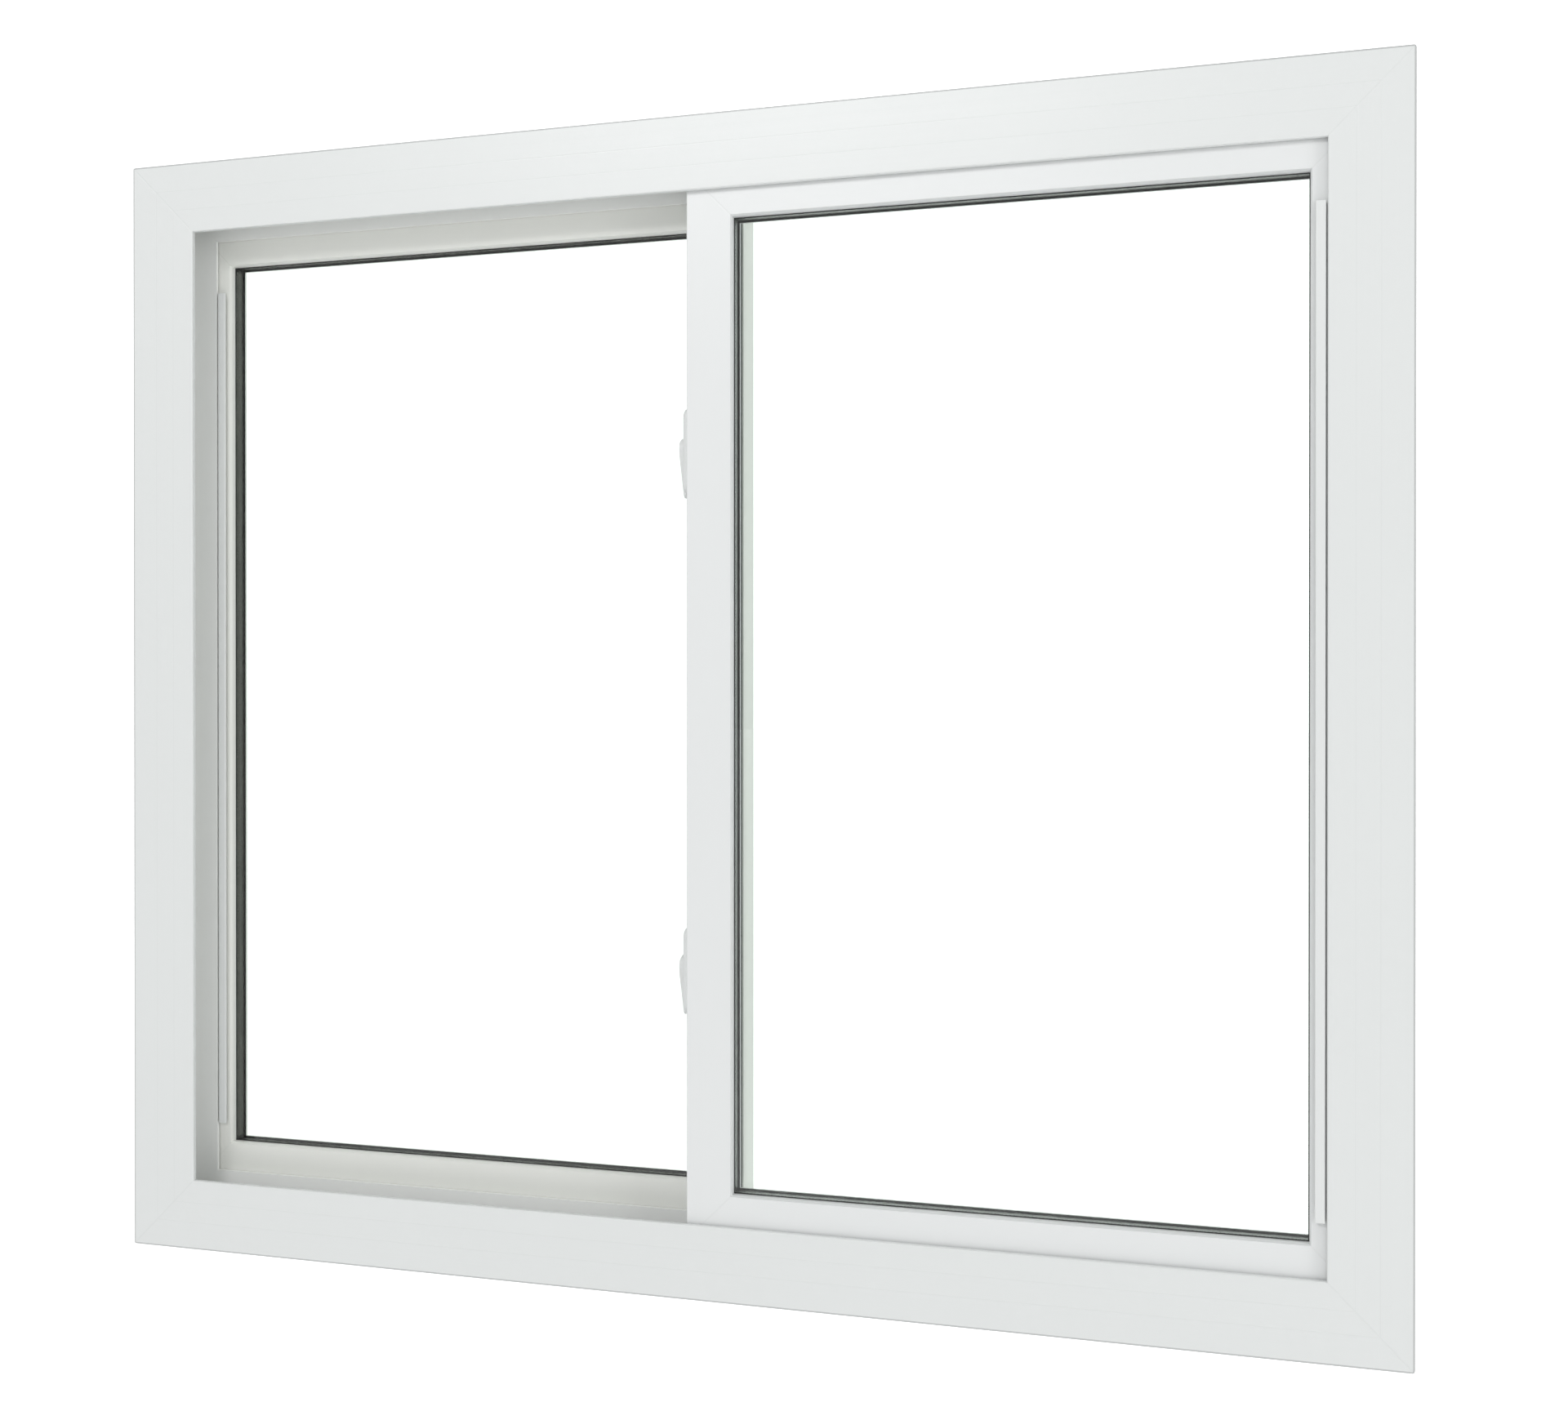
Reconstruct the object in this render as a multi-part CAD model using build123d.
from build123d import *
import os

# Horizontal sliding window in white vinyl: welded frame, fixed sash, sliding sash, two cam locks.
# The origin is in the wall plane at the middle of the window.  +X runs to the right and +Z up for
# somebody standing in the room, and +Y runs through the wall to the outside.  Lengths are in mm.
# u is a distance outwards from an opening, and v a distance through the wall.

# ---- Driving dimensions: frame ----
OVERALL_WIDTH = 1122.0
OVERALL_HEIGHT = 1000.0
FACE_WIDTH = 63.5            # flat face that laps the wall, outer edge to opening
FACE_THICK = 4.0
FRAME_DEPTH = 80.0           # wall plane to exterior edge
BODY_REACH = 38.0            # opening to the back of the frame body
CHANNEL_DEPTH = 31.0         # opening to the floor of the sash channels
WALL = 2.0                   # wall of a hollow profile
CORNER_RADIUS = 3.0
DIVIDER = (34.0, 36.5)       # rib between the two channels, from and to in Y
OUTER_LEG = (70.0, FRAME_DEPTH)
JAMB_HOLE_RADIUS = 2.6       # installation screws
JAMB_HOLE_Z = 350.0
WEEP_X = (-300.0, 300.0)
WEEP_Z = -461.0
WEEP_SLOT = (30.0, 5.0)      # width and height
WEEP_COVER = (50.0, 14.0, 3.0)

# ---- Driving dimensions: sashes ----
SASH_WIDTH = 545.0
SASH_BOTTOM = -450.5
SASH_TOP = 453.5
SASH_FACE = 40.0             # width of every stile and rail
SASH_THICK = 30.0
SASH_CHAMFER = 1.2
SLIDING_FACE_Y = 2.0         # room-side face of the sliding sash
FIXED_FACE_Y = 38.0          # room-side face of the fixed sash
MEETING_OVERLAP = 40.0
CHAMBERS = ((18.0, 28.0), (30.0, 38.0))      # hollow chambers of a stile or rail, in u
LEG_THICK = 7.2              # glazing leg on the room side
REBATE = 16.0                # daylight edge to the floor of the glazing rebate

# ---- Driving dimensions: glass unit, from the room-side face of the sash ----
PANE = 3.0
INNER_PANE_AT = 8.0
OUTER_PANE_AT = 23.0
GLASS_BITE = 13.0
SPACER = (1.5, 8.0)          # in u
GASKET = (-0.8, 10.0)        # in u
SETTING_BLOCK = (60.0, 3.0)  # length and height

# ---- Driving dimensions: locks and keepers ----
LOCK_HEIGHTS = {"upper": 222.0, "lower": -222.0}
PIVOT_Y = 25.5
HOUSING_THICK = 6.5
HOUSING_WIDTH = 21.5
HOUSING_LENGTH = 74.0
HOUSING_Y = 20.75            # middle of the housing's width
HOUSING_DROP = 3.0           # middle of its length, below the pivot
HOUSING_SCREWS = (26.5, -32.5)               # above and below the pivot
CAM_REACH = 14.0
CAM_HUB = 7.0
CAM_TIP = 4.0
CAM_THICK = 2.6
CAM_GAP = 0.4
SHAFT_RADIUS = 3.5
RUNNING = 0.06               # radial running clearance of a shaft in its hole
LEVER_HUB = 9.5
LEVER_TIP = 4.5
LEVER_REACH = 37.5           # pivot to the middle of the tip
LEVER_GAP = 0.3
KEEPER_FACE_Y = 40.0
KEEPER_X = (-30.8, -22.2)
KEEPER_LIP_X = (-26.8, -24.0)
KEEPER_SCREW_X = -26.5
KEEPER_SCREW_STEP = 13.5     # above and below the keeper's middle
KEEPER_NOTCH = 13.0          # clear height above and below the pivot for the turning cam

# ---- Driving dimensions: rollers and track ----
WHEEL_RADIUS = 9.0           # at the root of the groove
WHEEL_FLANGE = 1.5
WHEEL_WIDTH = 7.0
AXLE_RADIUS = 2.0
ROLLER_INSET = 75.0          # sash edge to wheel
ROLLER_BOX = (50.0, 12.0)    # length and width of a roller housing
TRACK_TOP = -454.0
TRACK_RIB = 3.0
TRACK_BASE = (18.0, 2.0)     # width and thickness

# ---- Driving dimensions: strips snapped on the sashes ----
PULL_ENDS = (-392.0, 388.0)
PULL_U = (3.5, 11.0)
PULL_WALL = 2.0
PULL_LIP = 1.7
INTERLOCK_LIP = 1.0
PILE_U = (31.0, 36.0)
PILE_HEIGHT = 1.7
MEETING_PILE_X = (14.0, 19.0)

HALF_W = OVERALL_WIDTH / 2 - FACE_WIDTH
HALF_H = OVERALL_HEIGHT / 2 - FACE_WIDTH
OPENING = (-HALF_W, HALF_W, -HALF_H, HALF_H)
SLIDING_LEFT = -MEETING_OVERLAP / 2
FIXED_RIGHT = MEETING_OVERLAP / 2
SLIDING_LIGHT = (SLIDING_LEFT + SASH_FACE, SLIDING_LEFT + SASH_WIDTH - SASH_FACE,
                 SASH_BOTTOM + SASH_FACE, SASH_TOP - SASH_FACE)
FIXED_LIGHT = (FIXED_RIGHT - SASH_WIDTH + SASH_FACE, FIXED_RIGHT - SASH_FACE,
               SASH_BOTTOM + SASH_FACE, SASH_TOP - SASH_FACE)
CHANNEL_FLOOR = HALF_H + CHANNEL_DEPTH
TRACK_Y = SLIDING_FACE_Y + SASH_THICK / 2
FIXED_MID_Y = FIXED_FACE_Y + SASH_THICK / 2
SLIDING_BACK_Y = SLIDING_FACE_Y + SASH_THICK
STRIP_END_Z = HALF_H - 2.5
SIDES = ("top", "bottom", "left", "right")

nodes = {}


# ---- Helpers ----
def outline(points):
    """Closed face through the points."""
    return make_face(Polyline(*points, close=True))


def block(x0, x1, y0, y1, z0, z1):
    """Box between two corners."""
    return Pos((x0 + x1) / 2, (y0 + y1) / 2, (z0 + z1) / 2) * Box(x1 - x0, y1 - y0, z1 - z0)


def grown(rect, by):
    """Rectangle (x0, x1, z0, z1) grown outwards on every side."""
    return (rect[0] - by, rect[1] + by, rect[2] - by, rect[3] + by)


def ring(rect, inner, outer, y0, y1):
    """Rectangular ring between two offsets of a rectangle."""
    a = grown(rect, outer)
    b = grown(rect, inner)
    return block(a[0], a[1], y0, y1, a[2], a[3]) - block(b[0], b[1], y0 - 1, y1 + 1, b[2], b[3])


def side_plane(rect, side):
    """Plane on one side of a rectangle: local x outwards, local y along +Y."""
    x0, x1, z0, z1 = rect
    cx, cz = (x0 + x1) / 2, (z0 + z1) / 2
    origin, outward, along = {
        "top": ((cx, 0, z1), (0, 0, 1), (-1, 0, 0)),
        "bottom": ((cx, 0, z0), (0, 0, -1), (1, 0, 0)),
        "left": ((x0, 0, cz), (-1, 0, 0), (0, 0, -1)),
        "right": ((x1, 0, cz), (1, 0, 0), (0, 0, 1)),
    }[side]
    return Plane(origin=origin, x_dir=outward, z_dir=along)


def mitre_prism(rect, side, inset, reach):
    """Wedge that trims one bar of a ring to 45 degrees at both ends."""
    x0, x1, z0, z1 = grown(rect, -inset)
    a0, a1, b0, b1 = grown(rect, reach)
    points = {
        "top": [(x0, z1), (x1, z1), (a1, b1), (a0, b1)],
        "bottom": [(x0, z0), (x1, z0), (a1, b0), (a0, b0)],
        "left": [(x0, z0), (x0, z1), (a0, b1), (a0, b0)],
        "right": [(x1, z0), (x1, z1), (a1, b1), (a1, b0)],
    }[side]
    return extrude(Plane.XZ * outline(points), amount=2 * FRAME_DEPTH, both=True)


def mitred_bar(section, rect, side, inset=0.0, reach=SASH_FACE):
    """Profile run along one side of a rectangle, with mitred ends."""
    run = max(rect[1] - rect[0], rect[3] - rect[2]) / 2 + reach
    bar = extrude(side_plane(rect, side) * section, amount=run, both=True)
    return bar & mitre_prism(rect, side, inset, reach)


def hull_of(*discs):
    """Convex outline round discs given as (y, z, radius)."""
    shape = Sketch() + [Pos(y, z) * Circle(r) for y, z, r in discs]
    return make_hull(shape.edges())


def plate_yz(sketch, x0, x1):
    """Sketch in (Y, Z) made into a plate from x0 to x1."""
    return extrude(Plane.YZ.offset(x0) * sketch, amount=x1 - x0)


def bar_z(points, z0, z1):
    """Outline in (X, Y) run up from z0 to z1."""
    return extrude(Plane.XY.offset(z0) * outline(points), amount=z1 - z0)


def screw(length, radius, head_radius, head_height):
    """Pan-head screw along -Z, its head standing on the XY plane."""
    head = Pos(0, 0, head_height / 2) * Cylinder(head_radius, head_height)
    head = fillet(head.edges().group_by(Axis.Z)[-1], head_height * 0.6)
    slots = Pos(0, 0, head_height) * (Box(head_radius, 0.6, 0.8) + Box(0.6, head_radius, 0.8))
    return head - slots + Pos(0, 0, -length / 2) * Cylinder(radius, length)


# ---- Frame: four welded bars of one hollow extrusion, with the flat face on the room side ----
def frame_section():
    """Section of the frame: u outwards from the opening, v through the wall."""
    y_div0, y_div1 = DIVIDER
    y_leg0, y_leg1 = OUTER_LEG
    body = outline([
        (0, -FACE_THICK), (FACE_WIDTH, -FACE_THICK), (FACE_WIDTH, 0), (BODY_REACH, 0),
        (BODY_REACH, y_leg1), (0, y_leg1), (0, y_leg0), (CHANNEL_DEPTH, y_leg0),
        (CHANNEL_DEPTH, y_div1), (0, y_div1), (0, y_div0), (CHANNEL_DEPTH, y_div0),
        (CHANNEL_DEPTH, 0), (0, 0)])
    front = body.vertices().group_by(Axis.Y)[0]
    body = fillet(front, 1.2)
    floor0, floor1 = CHANNEL_DEPTH + WALL, BODY_REACH - WALL
    for u0, u1, v0, v1 in (
            (floor0, floor1, WALL, y_div0 - 1),
            (floor0, floor1, y_div1 + 1, y_leg0 - WALL),
            (WALL, floor1, y_leg0 + WALL, y_leg1 - WALL)):
        body -= Pos((u0 + u1) / 2, (v0 + v1) / 2) * Rectangle(u1 - u0, v1 - v0)
    return body


def make_frame():
    section = frame_section()
    face = extrude(Plane.XZ * RectangleRounded(OVERALL_WIDTH, OVERALL_HEIGHT, CORNER_RADIUS),
                   amount=2 * FRAME_DEPTH, both=True)
    names = dict(zip(SIDES, ("frame_head", "frame_sill", "frame_left_jamb", "frame_right_jamb")))
    bars = {side: mitred_bar(section, OPENING, side, reach=FACE_WIDTH) & face for side in SIDES}
    # Installation screws pass through each jamb inside the near channel.
    hole = Rot(0, 90, 0) * Cylinder(JAMB_HOLE_RADIUS, 4 * BODY_REACH)
    for side, x in (("left", -HALF_W - CHANNEL_DEPTH), ("right", HALF_W + CHANNEL_DEPTH)):
        for z in (-JAMB_HOLE_Z, JAMB_HOLE_Z):
            bars[side] -= Pos(x, TRACK_Y, z) * hole
    # Weep slots drain the sill through its exterior leg.
    width, height = WEEP_SLOT
    for x in WEEP_X:
        bars["bottom"] -= block(x - width / 2, x + width / 2, OUTER_LEG[0] - 1, OUTER_LEG[1] + 1,
                                WEEP_Z - height / 2, WEEP_Z + height / 2)
    for side in SIDES:
        nodes[names[side]] = bars[side]


make_frame()

# Aluminium roller track snapped into the sill.
base_width, base_thick = TRACK_BASE
track_rib = block(-HALF_W + 1, HALF_W - 1, TRACK_Y - TRACK_RIB / 2, TRACK_Y + TRACK_RIB / 2,
                  -CHANNEL_FLOOR + base_thick / 2, TRACK_TOP)
track_rib = fillet(track_rib.edges().filter_by(Axis.X).group_by(Axis.Z)[-1], 0.4 * TRACK_RIB)
track_base = block(-HALF_W + 1, HALF_W - 1, TRACK_Y - base_width / 2, TRACK_Y + base_width / 2,
                   -CHANNEL_FLOOR, -CHANNEL_FLOOR + base_thick)
nodes["sill_roller_track"] = track_base + track_rib

# Blocks in the head channel stop the closed sliding sash from being lifted out.
nodes["anti_lift_blocks"] = Compound([
    block(x - 20, x + 20, TRACK_Y - 10, TRACK_Y + 10, SASH_TOP + 1.5, CHANNEL_FLOOR)
    for x in (120, 400)])

# Blocks that carry the fixed sash, and end blocks that hold it in its pocket.
nodes["fixed_sash_support_blocks"] = Compound([
    block(x - 30, x + 30, FIXED_MID_Y - 9, FIXED_MID_Y + 9, -CHANNEL_FLOOR, SASH_BOTTOM)
    for x in (-410, -80)])
nodes["fixed_sash_retainers"] = Compound([
    fillet(block(FIXED_RIGHT + 0.5, FIXED_RIGHT + 24, FIXED_MID_Y - 12, FIXED_MID_Y + 12, z0, z1)
           .edges().filter_by(Axis.Y), 1.5)
    for z0, z1 in ((-CHANNEL_FLOOR, -HALF_H - 1), (HALF_H + 1, CHANNEL_FLOOR))])


def weep_cover(x):
    """Louvred flap over a weep slot."""
    width, height, thick = WEEP_COVER
    y0 = OUTER_LEG[1]
    cover = block(x - width / 2, x + width / 2, y0, y0 + thick,
                  WEEP_Z - height / 2, WEEP_Z + height / 2)
    cover = fillet(cover.edges().group_by(Axis.Y)[-1], thick / 3)
    reach = 0.36 * width
    for dz in (-thick, thick / 2):
        cover -= block(x - reach, x + reach, y0 - 1, y0 + thick + 1,
                       WEEP_Z + dz, WEEP_Z + dz + thick / 2)
    return cover


nodes["weep_covers"] = Compound([weep_cover(x) for x in WEEP_X])


# ---- Sashes: the same extrusions, glass unit and beads, made twice ----
def sash_section(face_y):
    """Section of a stile or rail: u outwards from the daylight edge, v from the wall plane."""
    body = outline([
        (SASH_CHAMFER, 0), (SASH_FACE, 0), (SASH_FACE, SASH_THICK), (REBATE, SASH_THICK),
        (REBATE, LEG_THICK), (0, LEG_THICK), (0, 2 * SASH_CHAMFER)])
    corner = body.vertices().group_by(Axis.X)[-1].group_by(Axis.Y)[0]
    body = fillet(corner, 1.0)
    for u0, u1 in CHAMBERS:
        middle = ((u0 + u1) / 2, SASH_THICK / 2)
        body -= Pos(*middle) * Rectangle(u1 - u0, SASH_THICK - 2 * WALL)
    return Pos(0, face_y) * body


def bead_section(face_y):
    """Snap-in glazing bead on the exterior side."""
    back = SASH_THICK
    front = OUTER_PANE_AT + PANE
    return Pos(0, face_y) * outline([
        (0, front), (REBATE, front), (REBATE, back), (3, back), (0, back - 2)])


def make_sash(prefix, light, face_y, member_names):
    section = sash_section(face_y)
    for side, name in zip(SIDES, member_names):
        nodes[f"{prefix}_{name}"] = mitred_bar(section, light, side)
        bead = mitred_bar(bead_section(face_y), light, side, reach=REBATE)
        nodes[f"{prefix}_{side}_bead"] = bead
    glass = grown(light, GLASS_BITE)
    for name, at in (("inner_pane", INNER_PANE_AT), ("outer_pane", OUTER_PANE_AT)):
        nodes[f"{prefix}_{name}"] = block(glass[0], glass[1], face_y + at, face_y + at + PANE,
                                          glass[2], glass[3])
    gap0, gap1 = face_y + INNER_PANE_AT + PANE, face_y + OUTER_PANE_AT
    nodes[f"{prefix}_spacer"] = ring(light, *SPACER, gap0, gap1)
    nodes[f"{prefix}_edge_seal"] = ring(light, SPACER[1], GLASS_BITE - 1, gap0, gap1)
    nodes[f"{prefix}_gasket"] = ring(light, *GASKET, face_y + LEG_THICK, face_y + INNER_PANE_AT)
    length, height = SETTING_BLOCK
    nodes[f"{prefix}_setting_blocks"] = Compound([
        block(x - length / 2, x + length / 2, face_y + 9, face_y + 25, glass[2] - height, glass[2])
        for x in (light[0] + 100, light[1] - 100)])


def pull_rail(edge_x, sign, face_y, stand):
    """Full-height finger pull, cut short of both ends: a web with a lip towards the glass."""
    near, far = [edge_x + sign * u for u in PULL_U]
    web = far - sign * PULL_WALL
    front = face_y - stand
    section = [(near, front), (far, front), (far, face_y), (web, face_y),
               (web, front + PULL_LIP), (near, front + PULL_LIP)]
    rail = bar_z(section, *PULL_ENDS)
    return fillet(rail.edges().filter_by(Axis.Z).group_by(Axis.Y)[0], 0.7)


make_sash("fixed_sash", FIXED_LIGHT, FIXED_FACE_Y,
          ("top_rail", "bottom_rail", "jamb_stile", "meeting_stile"))
make_sash("sliding_sash", SLIDING_LIGHT, SLIDING_FACE_Y,
          ("top_rail", "bottom_rail", "meeting_stile", "closing_stile"))
nodes["fixed_sash_pull_rail"] = pull_rail(FIXED_LIGHT[0], -1, FIXED_FACE_Y, 4.5)
nodes["sliding_sash_pull_rail"] = pull_rail(SLIDING_LIGHT[1], 1, SLIDING_FACE_Y, 5.5)

# Hooked interlocks engage as the sliding sash closes.  Each stops short of head and sill.
slide_lip = SLIDING_BACK_Y + 2.1
nodes["sliding_sash_interlock"] = bar_z([
    (-14, SLIDING_BACK_Y), (-5, SLIDING_BACK_Y), (-5, slide_lip), (1, slide_lip),
    (1, slide_lip + INTERLOCK_LIP), (-6, slide_lip + INTERLOCK_LIP),
    (-6, SLIDING_BACK_Y + INTERLOCK_LIP), (-14, SLIDING_BACK_Y + INTERLOCK_LIP)],
    -STRIP_END_Z, STRIP_END_Z)
fixed_lip = FIXED_FACE_Y - 4.6
nodes["fixed_sash_interlock"] = bar_z([
    (13, FIXED_FACE_Y), (5, FIXED_FACE_Y), (5, fixed_lip), (-1, fixed_lip),
    (-1, fixed_lip - 0.9), (6.2, fixed_lip - 0.9), (6.2, FIXED_FACE_Y - INTERLOCK_LIP),
    (13, FIXED_FACE_Y - INTERLOCK_LIP)],
    -STRIP_END_Z, STRIP_END_Z)
nodes["meeting_pile"] = block(*MEETING_PILE_X, SLIDING_BACK_Y + 0.4, FIXED_FACE_Y,
                              -STRIP_END_Z, STRIP_END_Z)

# Pile weatherstrip on the room-side face of the sliding sash, inside the channels.
pile = Pos(sum(PILE_U) / 2, SLIDING_FACE_Y - PILE_HEIGHT / 2) * Rectangle(PILE_U[1] - PILE_U[0],
                                                                         PILE_HEIGHT)
nodes["sliding_sash_pile"] = Compound([
    mitred_bar(pile, SLIDING_LIGHT, side) for side in ("top", "bottom", "right")])

# ---- Rollers in the bottom rail ----
wheel_z = TRACK_TOP + 0.3 + WHEEL_RADIUS
housing_top = SLIDING_LIGHT[2] - REBATE - WALL
roller_x = {"left": SLIDING_LEFT + ROLLER_INSET, "right": SLIDING_LEFT + SASH_WIDTH - ROLLER_INSET}


def roller_housing(x):
    """Box open at the bottom, with an axle hole and room for the wheel."""
    length, width = ROLLER_BOX
    housing = block(x - length / 2, x + length / 2, TRACK_Y - width / 2, TRACK_Y + width / 2,
                    SASH_BOTTOM, housing_top)
    housing -= block(x - 13, x + 13, TRACK_Y - 4, TRACK_Y + 4, SASH_BOTTOM - 1, housing_top - WALL)
    return housing - Pos(x, TRACK_Y, wheel_z) * Rot(90, 0, 0) * Cylinder(AXLE_RADIUS, 2 * width)


def grooved_wheel(x):
    """Wheel turned about its axle, with a groove that fits over the track's rib."""
    rim = WHEEL_RADIUS + WHEEL_FLANGE
    half = WHEEL_WIDTH / 2
    groove = TRACK_RIB / 2 + 0.3
    mouth = groove + 0.6
    bore = AXLE_RADIUS + RUNNING
    profile = outline([(bore, -half), (rim, -half), (rim, -mouth), (WHEEL_RADIUS, -groove),
                       (WHEEL_RADIUS, groove), (rim, mouth), (rim, half), (bore, half)])
    return Pos(x, TRACK_Y, wheel_z) * revolve(profile, Axis.Y)


for side, x in roller_x.items():
    length, width = ROLLER_BOX
    nodes["sliding_sash_bottom_rail"] -= block(
        x - length / 2, x + length / 2, TRACK_Y - width / 2 - 0.2, TRACK_Y + width / 2 + 0.2,
        SASH_BOTTOM - 5, housing_top)
    nodes[f"{side}_roller_housing"] = roller_housing(x)
    nodes[f"{side}_roller_wheel"] = grooved_wheel(x)
nodes["roller_axles"] = Compound([
    Pos(x, TRACK_Y, wheel_z) * Rot(90, 0, 0) * Cylinder(AXLE_RADIUS, ROLLER_BOX[1])
    for x in roller_x.values()])

# ---- Cam locks on the edge of the sliding meeting stile, keepers on the fixed sash ----
housing_x = SLIDING_LEFT - HOUSING_THICK
lever_x = housing_x - LEVER_GAP
cam_x = SLIDING_LEFT - CAM_GAP
screw_seat_x = housing_x + 1.6
lock_screw = screw(length=12, radius=1.5, head_radius=2.8, head_height=1.4)
keeper_screw = screw(length=5, radius=1.3, head_radius=2.4, head_height=1.0)


def lock_housing(z):
    """Low rounded cover, hollow behind the pivot so that the cam can swing out at the back."""
    plan = Pos(HOUSING_Y, z - HOUSING_DROP) * RectangleRounded(HOUSING_WIDTH, HOUSING_LENGTH, 9)
    cover = plate_yz(plan, housing_x, SLIDING_LEFT)
    cover = fillet(cover.edges().group_by(Axis.X)[0], 3.0)
    pocket_x = cam_x - CAM_THICK - CAM_GAP
    cover -= plate_yz(Pos(PIVOT_Y, z) * Circle(CAM_REACH + CAM_GAP), pocket_x, SLIDING_LEFT + 1)
    cover -= plate_yz(Pos(PIVOT_Y, z) * Circle(SHAFT_RADIUS + RUNNING), housing_x - 1, SLIDING_LEFT)
    for dz in HOUSING_SCREWS:
        cover -= plate_yz(Pos(HOUSING_Y, z + dz) * Circle(1.6), housing_x - 1, SLIDING_LEFT + 1)
        cover -= plate_yz(Pos(HOUSING_Y, z + dz) * Circle(3.0), housing_x - 1, screw_seat_x)
    return cover


def lock_cam(z):
    """Cam plate with its shaft.  The lobe points to the room when the lock is open."""
    plan = hull_of((PIVOT_Y, z, CAM_HUB), (PIVOT_Y - CAM_REACH + CAM_TIP, z, CAM_TIP))
    plate = plate_yz(plan, cam_x - CAM_THICK, cam_x)
    return plate + plate_yz(Pos(PIVOT_Y, z) * Circle(SHAFT_RADIUS), lever_x, cam_x - 1)


def lock_lever(z):
    """Thumb lever: round hub, handle tapering in width and thickness to its tip."""
    tip_z = z - LEVER_REACH - LEVER_TIP
    plan = hull_of((PIVOT_Y, z, LEVER_HUB), (PIVOT_Y, z - LEVER_REACH, LEVER_TIP))
    blank = plate_yz(plan, lever_x - 6, lever_x)
    side = outline([(lever_x, z + 10), (lever_x - 3.6, z + 10), (lever_x - 4.7, z + 5),
                    (lever_x - 4.7, z - 7), (lever_x - 2.2, tip_z), (lever_x, tip_z)])
    return blank & extrude(Plane.XZ * side, amount=2 * FRAME_DEPTH, both=True)


def keeper(z):
    """Strike plate with a lip that stands behind the turned cam."""
    base = block(*KEEPER_X, KEEPER_FACE_Y, KEEPER_FACE_Y + 2, z - 17, z + 17)
    base = fillet(base.edges().filter_by(Axis.Y), 2.0)
    return base + block(*KEEPER_LIP_X, KEEPER_FACE_Y - 4, KEEPER_FACE_Y + 0.5, z - 10, z + 10)


# Snap-on rail that carries the keepers along the inner edge of the fixed meeting stile.
fixed_left = FIXED_RIGHT - SASH_FACE
shelf_y = KEEPER_FACE_Y + 2
rail = bar_z([(fixed_left + 8, FIXED_FACE_Y - 1.5), (fixed_left - 2, FIXED_FACE_Y - 1.5),
              (fixed_left - 2, shelf_y), (fixed_left - 11, shelf_y), (fixed_left - 11, shelf_y + 3),
              (fixed_left, shelf_y + 3), (fixed_left, FIXED_FACE_Y), (fixed_left + 8, FIXED_FACE_Y)],
             FIXED_LIGHT[2] + 2, FIXED_LIGHT[3] - 2)
lock_screws = []
keeper_screws = []
for level, z in LOCK_HEIGHTS.items():
    nodes[f"{level}_lock_housing"] = lock_housing(z)
    nodes[f"{level}_lock_cam"] = lock_cam(z)
    nodes[f"{level}_lock_lever"] = lock_lever(z)
    nodes[f"{level}_keeper"] = keeper(z)
    rail -= block(fixed_left - 3, fixed_left + 9, FIXED_FACE_Y - 2, PIVOT_Y + CAM_REACH + 1,
                  z - KEEPER_NOTCH, z + KEEPER_NOTCH)
    for dz in HOUSING_SCREWS:
        lock_screws.append(Pos(screw_seat_x, HOUSING_Y, z + dz) * Rot(0, -90, 0) * lock_screw)
        nodes["sliding_sash_meeting_stile"] -= plate_yz(
            Pos(HOUSING_Y, z + dz) * Circle(1.5), SLIDING_LEFT - 1, SLIDING_LEFT + 4)
    for dz in (-KEEPER_SCREW_STEP, KEEPER_SCREW_STEP):
        at = Pos(KEEPER_SCREW_X, KEEPER_FACE_Y, z + dz)
        keeper_screws.append(at * Rot(90, 0, 0) * keeper_screw)
        drill = at * Pos(0, 3, 0) * Rot(90, 0, 0) * Cylinder(1.3, 8)
        nodes[f"{level}_keeper"] -= drill
        rail -= drill
nodes["lock_screws"] = Compound(lock_screws)
nodes["keeper_rail"] = rail
nodes["keeper_screws"] = Compound(keeper_screws)

os.makedirs("parts", exist_ok=True)
for name, shape in nodes.items():
    export_step(shape, os.path.join("parts", name + ".step"))
print(len(nodes), "nodes written")
